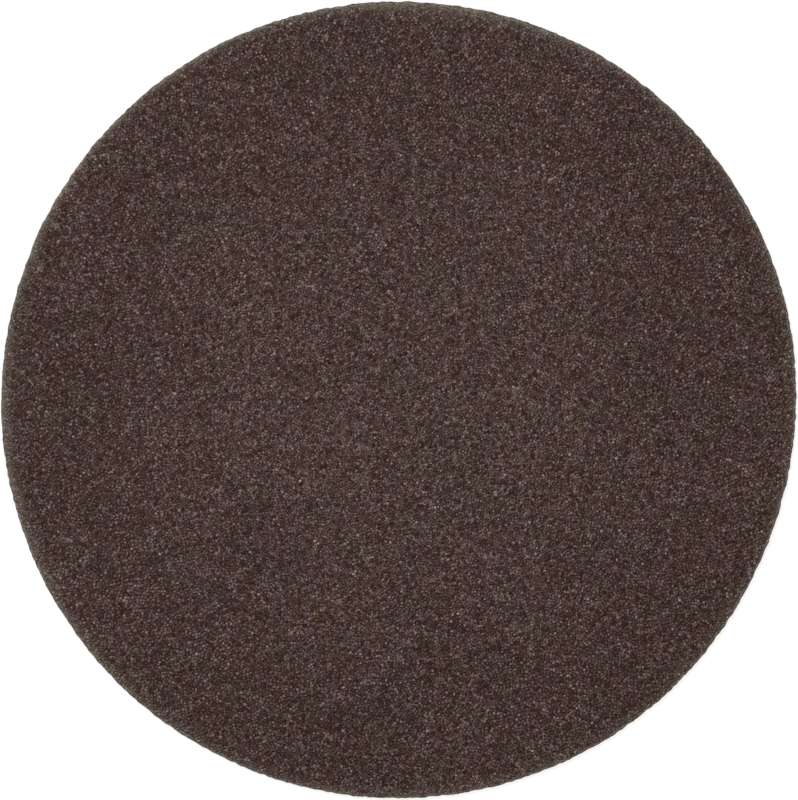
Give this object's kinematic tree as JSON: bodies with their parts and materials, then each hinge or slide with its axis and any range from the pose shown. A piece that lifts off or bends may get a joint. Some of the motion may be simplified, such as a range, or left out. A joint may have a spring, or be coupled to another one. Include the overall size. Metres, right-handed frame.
{
  "type": "sanding disc",
  "caption": "Round coarse-grit sanding disc with a closed coat of brown grain on a paper backing with a loop pile.",
  "frame": {"origin": "centre of the back, on the face that lies on the sander's pad", "axes": "+Z through the disc from the back to the grain, +Y towards the picture's top"},
  "size_m": [0.125, 0.125, 0.0014],
  "materials": {
    "backing": "matte",
    "grain": "matte"
  },
  "bodies": {
    "root": {"backing": "backing", "abrasive_coat": "grain"}
  },
  "joints": []
}
